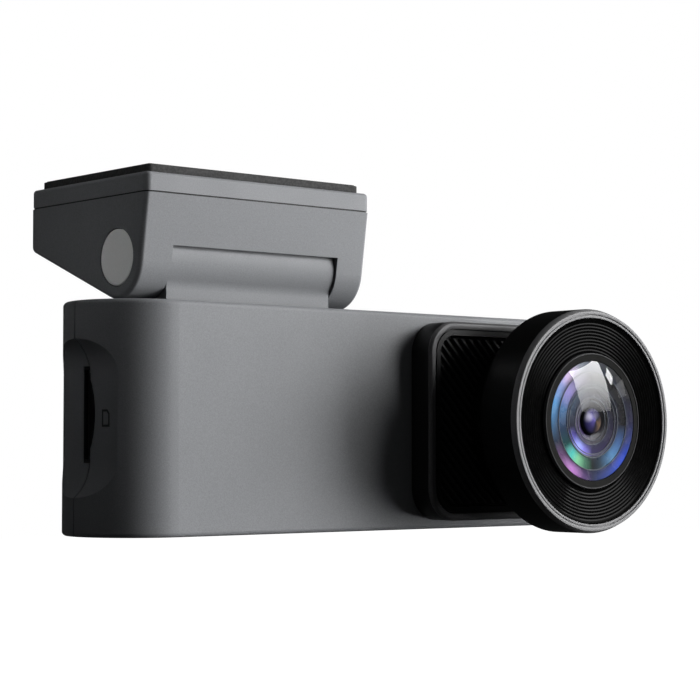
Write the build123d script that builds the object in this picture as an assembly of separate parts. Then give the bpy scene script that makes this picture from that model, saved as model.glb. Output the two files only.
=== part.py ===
from build123d import *
from math import acos, atan2, cos, sin, sqrt
import os

# A windscreen dash camera: a pill-shaped body hangs from a wedge mount on one tilting hinge.
# Millimetres. The origin is the centre of the adhesive pad's upper face, which meets the glass.
# +Z is up, the lens looks along -Y, and the memory card leaves the body along -X.

# ---------------------------------------------------------------- driving dimensions
# Mount
PAD_X, PAD_Y, PAD_T = 35.3, 25.3, 1.2          # adhesive pad
MOUNT_X, MOUNT_Y = 37.4, 27.4                  # outline of the mount seen from above
CAP_BOTTOM = -3.65                             # underside of the cap that carries the pad
SEAM = 0.20                                    # shadow gap between the cap and the housing
WALL = 1.8                                     # housing wall
CHEEK_R = 0.6                                  # rounding along both sides of the housing
PIVOT_Y, PIVOT_Z = -7.05, -11.8                # tilt axis, parallel to X
EAR_R = 5.4                                    # round end of the two ears
EAR_GAP = 27.6                                 # distance between the ears
REAR_LOW = (20.2, 2.0)                         # a point of the slanted underside, from the pivot
PIN_R = 2.0
PIN_HEAD_R = 3.4
PIN_CAP_R = 3.68                               # round caps over the pin's head and its nut
CAP_HOLE_R = 3.80
CAP_HOLE_DEPTH = 2.9
TILT_UP, TILT_DOWN = -35.0, 20.0               # degrees that the hinge turns each way

# Stem
BARREL_R, BARREL_X = 5.1, 27.2
STEM_T = 7.8
STEM_BLEND = 2.0                               # hollow curve between the barrel and the neck

# Body
BODY_X0, BODY_X1 = -24.95, 73.05               # left and right ends
BODY_TOP, BODY_H = -17.6, 30.0
END_R = 9.46                                   # half the thickness: both ends are full rounds
SKIN = 1.6                                     # shell wall
EDGE_R = 0.6                                   # rounding of the top and bottom edges

# Card bay in the left end
BAY_DEPTH, BAY_FLAT, BAY_R = 2.35, 10.8, 5.8   # depth, length of its flat floor, end radius
SLOT_H, SLOT_T = 12.35, 1.45
SLOT_Z = -32.1
CARD_X, CARD_H, CARD_T = 15.0, 11.0, 1.0
NOTCH_R, NOTCH_H = 1.2, 10.4                   # nail notch at the slot's edge: swell and length
SPLIT_W, SPLIT_DEEP = 0.2, 0.35                # the fine groove where the two shells meet

# Lens
LENS_X, LENS_Z = 43.45, -32.6
RING_R, RING_FRONT, RING_BACK = 15.54, -32.7, -25.8
NECK_R, THROAT_R = 11.2, 9.85                  # the neck in front of the panel, and through the frame
DISH_R, INNER_R, GLASS_R = 14.3, 9.5, 8.5
DOME_RISE = 1.6
GROOVES, GROOVE_DEEP = 8, 0.15

# Frame round the lens
FRAME_X, FRAME_H, FRAME_R, FRAME_OUT = 38.9, 27.5, 4.5, 3.9
RIM_W = 1.9
RIB_PITCH, RIB_W, RIB_H = 1.08, 0.55, 0.5

# Rear face
GLASS_X0, GLASS_X1, WINDOW_H = 14.5, 59.0, 23.6
KEY_X, KEY_W, KEY_H, KEY_PITCH = 3.5, 8.0, 3.2, 4.8
KEY_TOP_Z = -28.2
KEY_TRAVEL = 0.45
GAP = 0.15                                     # running gap round a key

# ---------------------------------------------------------------- derived places
BODY_BOTTOM = BODY_TOP - BODY_H
BODY_Z = (BODY_TOP + BODY_BOTTOM) / 2
BODY_X = (BODY_X0 + BODY_X1) / 2
MID_Y = PIVOT_Y                                # the shells part on this plane
FRONT_Y, REAR_Y = MID_Y - END_R, MID_Y + END_R
BOARD_FRONT, BOARD_REAR = -5.2, -4.0
SENSOR_FRONT, SENSOR_REAR = -9.4, -8.4
STEM_SCREWS = ((-12.0, -23.2), (12.0, -23.2))
CASE_SCREWS = ((-14.5, -42.9), (62.5, -22.4), (62.5, -42.9))
KEY_NAMES = ("menu_key", "up_key", "down_key", "power_key")
USB_X, USB_Y = 54.0, -2.37


# ---------------------------------------------------------------- helpers
def block(x0, x1, y0, y1, z0, z1):
    return Pos((x0 + x1) / 2, (y0 + y1) / 2, (z0 + z1) / 2) * Box(x1 - x0, y1 - y0, z1 - z0)


def rod_x(x0, x1, y, z, radius):
    return Pos((x0 + x1) / 2, y, z) * Rot(0, 90, 0) * Cylinder(radius, x1 - x0)


def rod_y(x, z, y0, y1, radius):
    return Pos(x, (y0 + y1) / 2, z) * Rot(90, 0, 0) * Cylinder(radius, y1 - y0)


def rod_z(x, y, z0, z1, radius):
    return Pos(x, y, (z0 + z1) / 2) * Cylinder(radius, z1 - z0)


def slab(outline, x, z, y_front, y_back):
    """A plate parallel to the body's front, with its outline centred on (x, z)."""
    return Pos(x, 0, z) * extrude(Plane.XZ.offset(-y_back) * outline, y_back - y_front)


def side_profile(points):
    """A face in the YZ plane, from (y, z) points."""
    return Plane.YZ * make_face(Polyline(*points, close=True))


def turned(*points):
    """A piece turned about the lens axis, from (radius, y) points."""
    return Pos(LENS_X, 0, LENS_Z) * revolve(make_face(Polyline(*points, close=True)), Axis.Y)


def tube(outer, inner, y_front, y_back):
    return turned((inner, y_front), (outer, y_front), (outer, y_back), (inner, y_back))


def save(shape, name):
    export_step(shape, os.path.join("parts", name + ".step"))


# ---------------------------------------------------------------- mount
def adhesive_pad():
    return block(-PAD_X / 2, PAD_X / 2, -PAD_Y / 2, PAD_Y / 2, -PAD_T, 0)


def cap_screw_places():
    return [(x, y) for x in (-16.0, 16.0) for y in (-9.8, 9.8)]


def mount_cap():
    """The plate that carries the pad; its screws are hidden under the pad."""
    cap = block(-MOUNT_X / 2, MOUNT_X / 2, -MOUNT_Y / 2, MOUNT_Y / 2, CAP_BOTTOM, -PAD_T)
    cap = fillet(cap.edges().filter_by(Axis.Z), 0.8)
    cap = fillet(cap.edges().group_by(Axis.Z)[-1], 0.5)
    plug = block(-15.0, 15.0, -11.5, 11.5, CAP_BOTTOM - 0.8, CAP_BOTTOM)
    cap += plug
    for x, y in cap_screw_places():
        cap -= rod_z(x, y, CAP_BOTTOM - 1, 0, 1.0)
        cap -= rod_z(x, y, -PAD_T - 1.0, 0, 1.95)
    return cap


def cap_screws():
    screws = []
    for x, y in cap_screw_places():
        screw = rod_z(x, y, -7.0, -PAD_T - 1.0, 0.9) + rod_z(x, y, -PAD_T - 1.0, -PAD_T - 0.1, 1.8)
        screws.append(screw)
    return Compound(children=screws)


def tangent_points():
    """Where the housing's front face and its slanted underside meet the round of the ears."""
    def touch(dy, dz, side):
        reach = sqrt(dy * dy + dz * dz)
        angle = atan2(dz, dy) + side * acos(EAR_R / reach)
        return (PIVOT_Y + EAR_R * cos(angle), PIVOT_Z + EAR_R * sin(angle))
    front = touch(-MOUNT_Y / 2 - PIVOT_Y, CAP_BOTTOM - PIVOT_Z, 1)
    under = touch(*REAR_LOW, -1)
    return front, under


def mount_housing():
    """Wedge-shaped shell with two ears; the barrel of the stem turns between them."""
    top = CAP_BOTTOM - SEAM
    front, under = tangent_points()
    slope = (PIVOT_Z + REAR_LOW[1] - under[1]) / (PIVOT_Y + REAR_LOW[0] - under[0])
    rear_low = under[1] + slope * (MOUNT_Y / 2 - under[0])
    outline = Polyline(front, (-MOUNT_Y / 2, top), (MOUNT_Y / 2, top), (MOUNT_Y / 2, rear_low), under)
    outline += ThreePointArc(under, (PIVOT_Y, PIVOT_Z - EAR_R), front)
    shape = extrude(Plane.YZ * make_face(outline), MOUNT_X / 2, both=True)
    shape = fillet(shape.edges().filter_by(Axis.X).group_by(Axis.Y)[-1].sort_by(Axis.Z)[0], 1.0)
    cheeks = shape.edges().group_by(Axis.X)
    below_top = [edge for edge in cheeks[0] + cheeks[-1] if edge.center().Z < top - 0.01]
    shape = fillet(below_top, CHEEK_R)

    # Inside it is hollow behind and above the hinge.
    inner_low = rear_low + WALL * 1.1
    hollow = extrude(side_profile([(-11.9, top + 1), (11.9, top + 1), (11.9, inner_low),
                                   (PIVOT_Y, inner_low - slope * (11.9 - PIVOT_Y)), (-11.9, -6)]),
                     MOUNT_X / 2 - WALL, both=True)
    hollow -= rod_x(-MOUNT_X, MOUNT_X, PIVOT_Y, PIVOT_Z, 7.0)
    for x, y in cap_screw_places():
        hollow -= rod_z(x, y, -20, 0, 2.2)
    shape -= hollow

    # The hinge slot: room for the barrel, and for the stem as it swings forwards and back.
    gap = EAR_GAP / 2
    slot = rod_x(-gap, gap, PIVOT_Y, PIVOT_Z, BARREL_R + 0.25)
    swing = block(-gap, gap, -15, STEM_T / 2 + 0.3, -15, 0)
    slot += Pos(0, PIVOT_Y, PIVOT_Z) * Rot(TILT_DOWN + 1, 0, 0) * swing
    slot += block(-gap, gap, -20, PIVOT_Y, -30, PIVOT_Z + 1.47)
    shape -= slot

    # The pin's bore, and the round pockets for its head and its nut.
    shape -= rod_x(-MOUNT_X, MOUNT_X, PIVOT_Y, PIVOT_Z, PIN_R + 0.03)
    for side in (-1, 1):
        outer, inner = side * MOUNT_X, side * (MOUNT_X / 2 - CAP_HOLE_DEPTH)
        shape -= rod_x(min(outer, inner), max(outer, inner), PIVOT_Y, PIVOT_Z, CAP_HOLE_R)
    for x, y in cap_screw_places():
        shape -= rod_z(x, y, -7.2, 0, 0.92)
    shape -= block(-15.1, 15.1, -11.6, 11.6, CAP_BOTTOM - 0.95, 0)
    return shape


def hinge_pin():
    seat = MOUNT_X / 2 - CAP_HOLE_DEPTH
    head = rod_x(-seat - 1.6, -seat, PIVOT_Y, PIVOT_Z, PIN_HEAD_R)
    return head + rod_x(-seat, seat + 1.5, PIVOT_Y, PIVOT_Z, PIN_R)


def wave_washer():
    seat = MOUNT_X / 2 - CAP_HOLE_DEPTH
    ring = rod_x(seat, seat + 0.4, PIVOT_Y, PIVOT_Z, 3.4)
    return ring - rod_x(seat - 1, seat + 2, PIVOT_Y, PIVOT_Z, PIN_R + 0.1)


def hinge_nut():
    seat = MOUNT_X / 2 - CAP_HOLE_DEPTH + 0.4
    nut = Pos(seat, PIVOT_Y, PIVOT_Z) * extrude(Plane.YZ * RegularPolygon(3.5, 6), 1.2)
    return nut - rod_x(seat - 1, seat + 3, PIVOT_Y, PIVOT_Z, PIN_R + 0.02)


def pin_cap(side):
    """A round cap pressed into the ear, 0.05 below its face."""
    outer = side * (MOUNT_X / 2 - 0.05)
    inner = side * (MOUNT_X / 2 - CAP_HOLE_DEPTH + 1.6)
    disc = rod_x(min(outer, inner), max(outer, inner), PIVOT_Y, PIVOT_Z, PIN_CAP_R)
    return fillet(disc.edges().filter_by(GeomType.CIRCLE).group_by(Axis.X)[(side + 1) // 2 * -1], 0.15)


def friction_washers():
    rings = []
    for x0, x1 in ((-13.77, -13.03), (13.03, 13.77)):
        ring = rod_x(x0, x1, PIVOT_Y, PIVOT_Z, 3.4) - rod_x(-20, 20, PIVOT_Y, PIVOT_Z, PIN_R + 0.03)
        rings.append(ring)
    return Compound(children=rings)


# ---------------------------------------------------------------- stem
def stem():
    """Hinge barrel and neck in one, with a foot that the two shells trap inside the body."""
    half = BARREL_X / 2
    shape = rod_x(-half, half, PIVOT_Y, PIVOT_Z, BARREL_R)
    shape += block(-half, half, MID_Y - STEM_T / 2, MID_Y + STEM_T / 2, -19.3, PIVOT_Z)
    junction = PIVOT_Z - sqrt(BARREL_R ** 2 - (STEM_T / 2) ** 2)
    creases = [edge for edge in shape.edges().filter_by(Axis.X) if abs(edge.center().Z - junction) < 0.01]
    shape = fillet(creases, STEM_BLEND)
    shape += block(-15.6, 15.6, MID_Y - 5.8, MID_Y + 5.8, -21.2, -19.3)
    for x, z in STEM_SCREWS:
        shape += block(x - 3, x + 3, -9.2, -5.0, z - 1.9, -21.2)
        shape -= rod_y(x, z, -12, 0, 1.1)
    shape -= rod_x(-20, 20, PIVOT_Y, PIVOT_Z, PIN_R + 0.05)
    for x0, x1 in ((-14, -13.0), (13.0, 14)):
        shape -= rod_x(x0, x1, PIVOT_Y, PIVOT_Z, 3.7)
    return shape


# ---------------------------------------------------------------- body shells
def pill(inset):
    """The body's block, shrunk by inset all round."""
    width = BODY_X1 - BODY_X0 - 2 * inset
    outline = SlotOverall(width, 2 * (END_R - inset))
    return Pos(BODY_X, MID_Y, BODY_BOTTOM + inset) * extrude(outline, BODY_H - 2 * inset)


def card_bay(grow=0.0):
    """Scoop across the left end: a flat floor whose ends curve out to the surface."""
    middle = BODY_X0 + BAY_DEPTH - BAY_R
    floor, radius = middle + BAY_R + grow, BAY_R + grow
    scoop = block(floor - 8, floor, MID_Y - 12, MID_Y + 12, BODY_Z - BAY_FLAT / 2, BODY_Z + BAY_FLAT / 2)
    for z in (BODY_Z - BAY_FLAT / 2, BODY_Z + BAY_FLAT / 2):
        scoop += rod_y(middle, z, MID_Y - 12, MID_Y + 12, radius)
    return scoop


def card_slot():
    return block(BODY_X0, BODY_X0 + 6, MID_Y, MID_Y + SLOT_T, SLOT_Z - SLOT_H / 2, SLOT_Z + SLOT_H / 2)


def thumb_notch():
    """Crescent-shaped nail notch beside the slot, in the front shell's edge."""
    swell = ThreePointArc((0, -NOTCH_H / 2), (NOTCH_R, 0), (0, NOTCH_H / 2))
    half = Plane.XZ * make_face(swell + Line((0, NOTCH_H / 2), (0, -NOTCH_H / 2)))
    return Pos(BODY_X0 + BAY_DEPTH - 0.35, MID_Y, SLOT_Z) * revolve(half, Axis.Z)


def hollow_body():
    solid = pill(0)
    solid = fillet(solid.edges().group_by(Axis.Z)[-1] + solid.edges().group_by(Axis.Z)[0], EDGE_R)
    hollow = pill(SKIN) - block(BODY_X0, BODY_X0 + BAY_DEPTH + 1.4, -40, 40, -60, 0)
    solid -= hollow
    solid -= card_bay()
    split = block(-40, 90, MID_Y - SPLIT_W / 2, MID_Y + SPLIT_W / 2, -60, 0)
    groove = split - pill(SPLIT_DEEP) + (split & card_bay(SPLIT_DEEP))
    return solid - groove - stem_opening()


def stem_opening():
    half = EAR_GAP / 2
    return block(-half, half, MID_Y - STEM_T / 2 - GAP, MID_Y + STEM_T / 2 + GAP, -19.4, -17)


def lens_outline(inset):
    corner = FRAME_R - inset if inset < 3 else 1.5
    return RectangleRounded(FRAME_X - 2 * inset, FRAME_H - 2 * inset, corner)


def front_shell():
    shell = hollow_body() & block(-60, 100, -60, MID_Y, -60, 0)
    for x, z in CASE_SCREWS:
        shell += rod_y(x, z, FRONT_Y + 0.8, MID_Y, 2.1)
        shell -= rod_y(x, z, -13.2, 0, 1.02)
    for x, z in STEM_SCREWS:
        shell += rod_y(x, z, FRONT_Y + 0.8, -9.2, 1.9)
        shell -= rod_y(x, z, -13.2, 0, 1.02)
    shell -= slab(lens_outline(2.75), LENS_X, LENS_Z, FRONT_Y - 1, FRONT_Y + 3)
    return shell - thumb_notch()


def key_places():
    return [(KEY_X, KEY_TOP_Z - KEY_PITCH * i) for i in range(len(KEY_NAMES))]


def grille_places():
    return [(-14.2 + 1.6 * i, -36.7 + 1.6 * j) for i in range(6) for j in range(5)]


def window_outline(grow):
    width = GLASS_X1 - GLASS_X0 + 2 * grow
    return RectangleRounded(width, WINDOW_H + 2 * grow, 2.0 + grow)


def rear_shell():
    shell = hollow_body() & block(-60, 100, MID_Y, 60, -60, 0)
    for x, z in CASE_SCREWS:
        shell += rod_y(x, z, MID_Y, REAR_Y - 1.2, 2.1)
    for x, z in STEM_SCREWS:
        shell += rod_y(x, z, -5.0, REAR_Y - 1.2, 1.9)
    for x, z in CASE_SCREWS + STEM_SCREWS:
        shell -= rod_y(x, z, MID_Y - 1, 5, 1.1)
        shell -= rod_y(x, z, REAR_Y - 1.0, 5, 2.0)
    for x, z in key_places():
        shell -= slab(SlotOverall(KEY_W + 2 * GAP, KEY_H + 2 * GAP), x, z, 0, 5)
    for x, z in grille_places():
        shell -= rod_y(x, z, 0, 5, 0.45)
    window_x = (GLASS_X0 + GLASS_X1) / 2
    shell -= slab(window_outline(0.1), window_x, BODY_Z, REAR_Y - 0.85, 5)
    shell -= slab(RectangleRounded(38.8, 22.0, 1.0), window_x, BODY_Z, 0, 5)
    shell -= rod_y(-6.0, -43.0, 0, 5, 0.83)
    shell -= rod_y(11.6, -43.0, 0, 5, 0.45)
    shell -= Pos(USB_X, USB_Y, -20) * extrude(SlotOverall(9.5, 3.8), 5)
    return shell - card_slot()


def case_screws():
    """The five screws that close the body: three in the shells' corners, two through the stem."""
    screws = []
    for x, z in CASE_SCREWS + STEM_SCREWS:
        head = rod_y(x, z, REAR_Y - 1.0, REAR_Y - 0.1, 1.8)
        head -= block(x - 1.1, x + 1.1, REAR_Y - 0.5, 5, z - 0.2, z + 0.2)
        head -= block(x - 0.2, x + 0.2, REAR_Y - 0.5, 5, z - 1.1, z + 1.1)
        screws.append(head + rod_y(x, z, -13.0, REAR_Y - 1.0, 1.0))
    return Compound(children=screws)


# ---------------------------------------------------------------- lens frame and barrel
def lens_frame():
    """Rounded square frame standing on the body's front, with a spigot through the shell."""
    front = FRONT_Y - FRAME_OUT
    frame = slab(lens_outline(0), LENS_X, LENS_Z, front, FRONT_Y)
    frame = fillet(frame.edges().group_by(Axis.Y)[0], 0.5)
    frame += slab(lens_outline(2.85), LENS_X, LENS_Z, FRONT_Y, FRONT_Y + 1.2)
    frame -= slab(lens_outline(RIM_W), LENS_X, LENS_Z, front - 1, front + 2.2)
    frame -= slab(lens_outline(3.7), LENS_X, LENS_Z, front, FRONT_Y + 2)
    groove = slab(lens_outline(1.0), LENS_X, LENS_Z, front - 1, front + 0.3)
    groove -= slab(lens_outline(1.2), LENS_X, LENS_Z, front - 1, front + 0.3)
    return frame - groove


def ribbed_panel():
    """Sunken panel behind the lens, covered with straight ribs at 45 degrees."""
    seat = FRONT_Y - FRAME_OUT + 2.2
    face = seat - 1.1
    panel = slab(lens_outline(RIM_W + 0.05), LENS_X, LENS_Z, face, seat)
    reach = FRAME_X + FRAME_H
    count = int(reach / sqrt(2) / RIB_PITCH / 2)
    rows = [Location((i * RIB_PITCH, 0)) * Rectangle(RIB_W, reach) for i in range(-count, count + 1)]
    ribs = Sketch() + rows
    ribs = (Rot(0, 0, 45) * ribs) & lens_outline(RIM_W + 0.4)
    panel += slab(ribs, LENS_X, LENS_Z, face - RIB_H, face)
    return panel - rod_y(LENS_X, LENS_Z, face - 3, seat + 1, NECK_R + 0.05)


def lens_barrel():
    """Cup and neck: the neck goes in through the frame and ends in a flange inside the body."""
    wall_front = RING_FRONT + 0.8
    seat = FRONT_Y - FRAME_OUT + 2.2
    barrel = turned(
        (8.4, -14.0), (THROAT_R, -14.0), (THROAT_R, seat), (NECK_R, seat), (NECK_R, RING_BACK),
        (RING_R - 0.4, RING_BACK), (RING_R, RING_BACK - 0.4), (RING_R, wall_front),
        (14.0, wall_front), (14.0, -27.3), (8.4, -27.3))
    inside = FRONT_Y + SKIN
    flange = slab(RectangleRounded(33.4, 24, 2), LENS_X, LENS_Z, inside, inside + 1.0)
    return barrel + (flange - rod_y(LENS_X, LENS_Z, -16, -13, 8.4))


def lens_rim():
    """Bevelled trim ring on the front of the cup, with a fine groove inside its bright face."""
    back = RING_FRONT + 0.8
    return turned(
        (DISH_R, back), (RING_R, back), (15.19, RING_FRONT), (14.75, RING_FRONT), (14.75, RING_FRONT + 0.2),
        (14.6, RING_FRONT + 0.2), (14.6, RING_FRONT + 0.06), (DISH_R, RING_FRONT + 0.06))


def lens_dish():
    """Gloss disc round the glass, with concentric grooves."""
    edge, back = RING_FRONT + 0.35, -29.0
    pitch = (DISH_R - INNER_R - 0.1) / GROOVES
    rise = 0.35 / GROOVES
    points = [(INNER_R + 0.02, back), (INNER_R + 0.02, edge + rise * GROOVES)]
    for i in range(GROOVES):
        inner = INNER_R + 0.05 + pitch * i
        level = edge + rise * (GROOVES - i)
        points.append((inner + 0.12, level))
        points.append((inner + pitch / 2, level + GROOVE_DEEP))
        points.append((inner + pitch - 0.12, level - rise))
    rim_back = RING_FRONT + 0.75
    points += [(DISH_R - 0.02, edge), (DISH_R - 0.02, rim_back), (13.95, rim_back), (13.95, back)]
    return turned(*points)


def glass_retainer():
    """Dark ring that holds the front glass down; its outer edge is a fine raised lip."""
    front = RING_FRONT + 0.55
    return turned(
        (8.9, -30.2), (INNER_R, -30.2), (INNER_R, front - 0.15), (INNER_R - 0.18, front - 0.15),
        (INNER_R - 0.25, front), (GLASS_R + 0.02, front - 0.25), (GLASS_R + 0.02, front + 0.6),
        (8.9, front + 0.6))


def meridian(centre, edge):
    """Half of a lens face, from its centre on the axis to its edge: an arc, or a line if it is flat."""
    if centre[1] == edge[1]:
        return Line(centre, edge)
    return TangentArc(centre, edge, tangent=(1, 0))


def element(radius, seat, rim_front, rim_back, front_rise, back_rise):
    """A turned lens: each curved face has the given rise and ends in a flat rim from seat outwards."""
    front, back = (0, rim_front - front_rise), (0, rim_back + back_rise)
    outline = meridian(front, (seat, rim_front))
    outline += Polyline((seat, rim_front), (radius, rim_front), (radius, rim_back), (seat, rim_back))
    outline += meridian(back, (seat, rim_back))
    outline += Line(back, front)
    return Pos(LENS_X, 0, LENS_Z) * revolve(make_face(outline), Axis.Y)


def front_glass():
    """Domed front element, hollow behind, with a flange under the retainer."""
    base, shoulder, back = RING_FRONT + 0.3, -31.5, -30.3
    front, hollow = (0, base - DOME_RISE), (0, back - 2.4)
    outline = meridian(front, (GLASS_R, base))
    outline += Polyline((GLASS_R, base), (GLASS_R, shoulder), (8.85, shoulder), (8.85, back), (7.2, back))
    outline += meridian(hollow, (7.2, back))
    outline += Line(hollow, front)
    return Pos(LENS_X, 0, LENS_Z) * revolve(make_face(outline), Axis.Y)


def lens_cell():
    """Tube that carries the lens elements; it screws into the holder on the sensor board."""
    return turned(
        (7.4, -30.2), (9.3, -30.2), (9.3, -27.4), (7.0, -27.4), (7.0, -12.2), (4.2, -12.2),
        (4.2, -13.2), (4.9, -13.2), (4.9, -26.2), (5.6, -26.2), (5.6, -28.6), (6.8, -28.6))


def second_lens():
    return element(5.55, 3.6, -28.4, -26.2, 0.3, -0.8)


def third_lens():
    return element(4.85, 4.15, -24.4, -22.4, 0.8, 0.8)


def fourth_lens():
    return element(4.85, 4.15, -18.8, -17.0, 0.6, 0)


def rear_lens():
    return element(4.85, 4.15, -16.0, -14.4, 0, 0.6)


def lens_spacers():
    spans = ((-26.15, -24.45), (-22.35, -20.9), (-20.2, -18.85), (-16.95, -16.05), (-14.35, -13.25))
    return Compound(children=[tube(4.85, 4.2, front, back) for front, back in spans])


def aperture_stop():
    return tube(4.85, 1.6, -20.85, -20.25)


# ---------------------------------------------------------------- sensor
def lens_holder():
    body = slab(RectangleRounded(18, 18, 1.5), LENS_X, LENS_Z, -13.7, SENSOR_FRONT)
    body += slab(SlotOverall(27.4, 5), LENS_X, LENS_Z, -12.4, SENSOR_FRONT)
    body -= rod_y(LENS_X, LENS_Z, -16, -12.1, 7.02)
    body -= rod_y(LENS_X, LENS_Z, -12.2, -11.0, 5.2)
    body -= slab(Rectangle(12, 12), LENS_X, LENS_Z, -11.0, SENSOR_FRONT + 1)
    for x in (-11.2, 11.2):
        body -= rod_y(LENS_X + x, LENS_Z, -11.6, 0, 0.72)
    return body


def holder_screws():
    screws = []
    for x in (-11.2, 11.2):
        head = rod_y(LENS_X + x, LENS_Z, SENSOR_REAR, SENSOR_REAR + 0.45, 1.2)
        screws.append(head + rod_y(LENS_X + x, LENS_Z, -11.4, SENSOR_REAR, 0.7))
    return Compound(children=screws)


def infrared_filter():
    return slab(Rectangle(11, 11), LENS_X, LENS_Z, -11.0, -10.6)


def image_sensor():
    return slab(Rectangle(9.2, 8.4), LENS_X, LENS_Z, SENSOR_FRONT - 0.9, SENSOR_FRONT)


def sensor_board():
    board = slab(RectangleRounded(29.5, 22, 1.0), LENS_X, LENS_Z, SENSOR_FRONT, SENSOR_REAR)
    for x in (-11.2, 11.2):
        board -= rod_y(LENS_X + x, LENS_Z, -11, -7, 0.75)
    return board


# ---------------------------------------------------------------- electronics
def main_board():
    board = block(-20.6, 69.5, BOARD_FRONT, BOARD_REAR, -45.6, -20.2)
    board -= block(-21, 16.4, -6, -3, -25.3, -20)
    for x, z in CASE_SCREWS:
        board -= rod_y(x, z, -6, -3, 2.3)
    return board


def chip(x, z, width, height, thick, rear=False):
    y = BOARD_REAR if rear else BOARD_FRONT - thick
    return block(x - width / 2, x + width / 2, y, y + thick, z - height / 2, z + height / 2)


def processor():
    return chip(LENS_X, LENS_Z, 12, 12, 1.2)


def thermal_pad():
    front = BOARD_FRONT - 1.2
    return slab(Rectangle(13, 13), LENS_X, LENS_Z, front - 0.5, front)


def heat_spreader():
    back = BOARD_FRONT - 1.7
    return slab(RectangleRounded(33, 22, 1), LENS_X, LENS_Z, back - 0.9, back)


def memory_chip():
    return chip(62.0, LENS_Z, 7.5, 11, 1.0)


def power_inductors():
    return Compound(children=[chip(22.5, z, 4.5, 4.5, 2.2) for z in (-24.5, -31.5)])


def motion_sensor():
    return chip(67.8, -29.0, 3, 3, 0.9)


def wireless_module():
    return chip(30.0, -38.0, 12, 11, 2.0, rear=True)


def antenna_patch():
    return block(14.5, 21.5, FRONT_Y + SKIN, FRONT_Y + SKIN + 0.25, -43, -24)


def supercapacitors():
    cans = []
    for z in (-32.4, -41.2):
        can = rod_x(-4.6, 13.6, -10.0, z, 4.1)
        can = fillet(can.edges().filter_by(GeomType.CIRCLE), 0.5)
        cans.append(can)
    return Compound(children=cans)


def ribbon_connectors():
    on_sensor = block(29.2, 31.4, SENSOR_FRONT - 1.0, SENSOR_FRONT, -43.4, -35.6)
    on_main = block(19.5, 21.7, BOARD_FRONT - 1.0, BOARD_FRONT, -43.4, -35.6)
    return Compound(children=[on_sensor, on_main])


def ribbon_cable():
    """Flat cable between the sensor board and the main board."""
    route = FilletPolyline((29.2, SENSOR_FRONT - 0.5), (24.6, SENSOR_FRONT - 0.5),
                           (24.6, BOARD_FRONT - 0.5), (21.7, BOARD_FRONT - 0.5), radius=1.4)
    return Pos(0, 0, -43.0) * extrude(trace(route, 0.2), 7)


def card_socket():
    """Steel cage on the main board, open towards the slot."""
    cage = block(-21.1, -5.7, -7.3, BOARD_FRONT, SLOT_Z - 7.0, SLOT_Z + 7.0)
    return cage - block(-22, -6.2, MID_Y + 0.05, MID_Y + 1.45, SLOT_Z - 5.9, SLOT_Z + 5.9)


def memory_card():
    mouth = BODY_X0 + BAY_DEPTH + 0.7
    y = MID_Y + 0.75
    low_z, high_z = SLOT_Z - CARD_H / 2, SLOT_Z + CARD_H / 2
    card = block(mouth, mouth + CARD_X, y - CARD_T / 2, y + CARD_T / 2, low_z, high_z)
    notch = block(mouth + 9.5, mouth + 16, y - 2, y + 2, low_z - 1, low_z + 1.0)
    return fillet((card - notch).edges().filter_by(Axis.Y), 0.4)


def usb_socket():
    outer = Pos(USB_X, USB_Y, -25.3) * extrude(SlotOverall(8.94, 3.26), 7.4)
    inner = Pos(USB_X, USB_Y, -24.3) * extrude(SlotOverall(8.34, 2.66), 8)
    tongue = block(USB_X - 3.4, USB_X + 3.4, USB_Y - 0.35, USB_Y + 0.35, -24.4, -19.0)
    return outer - inner + tongue


def speaker():
    case = block(-17.6, -3.2, BOARD_REAR, -1.2, -39.6, -27.4)
    return fillet(case.edges().filter_by(Axis.Y), 2.0) + block(-16.0, -4.8, -1.2, -0.4, -38.0, -29.0)


def speaker_mesh():
    return block(-15.4, -5.0, REAR_Y - SKIN - 0.35, REAR_Y - SKIN, -39.0, -28.0)


def microphone():
    return chip(11.6, -43.0, 3.4, 2.6, 1.0, rear=True)


def status_led():
    return chip(-6.0, -43.0, 1.6, 0.8, 0.7, rear=True)


def light_pipe():
    pipe = rod_y(-6.0, -43.0, -3.1, REAR_Y - 0.05, 0.8)
    return pipe + rod_y(-6.0, -43.0, 0.0, REAR_Y - SKIN, 1.4)


# ---------------------------------------------------------------- rear face
def display_panel():
    return slab(RectangleRounded(38.4, 21.6, 0.9), (GLASS_X0 + GLASS_X1) / 2, BODY_Z, 0.1, REAR_Y - 0.82)


def display_glass():
    glass = slab(window_outline(-0.05), (GLASS_X0 + GLASS_X1) / 2, BODY_Z, REAR_Y - 0.8, REAR_Y)
    return chamfer(glass.edges().group_by(Axis.Y)[-1], 0.15)


def key(x, z):
    """A pill-shaped key with a flange that stops it falling out of the rear shell."""
    cap = slab(SlotOverall(KEY_W, KEY_H), x, z, 0.15, REAR_Y + 0.5)
    cap = fillet(cap.edges().group_by(Axis.Y)[-1], 0.3)
    return cap + slab(SlotOverall(KEY_W + 1.0, KEY_H + 1.0), x, z, 0.15, 0.7)


def key_switches():
    switches = []
    for x, z in key_places():
        case = chip(x, z, 3.6, 3.2, 3.0, rear=True)
        switches.append(case + rod_y(x, z, BOARD_REAR + 3.0, 0.15 - KEY_TRAVEL - 0.05, 0.9))
    return Compound(children=switches)


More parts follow.
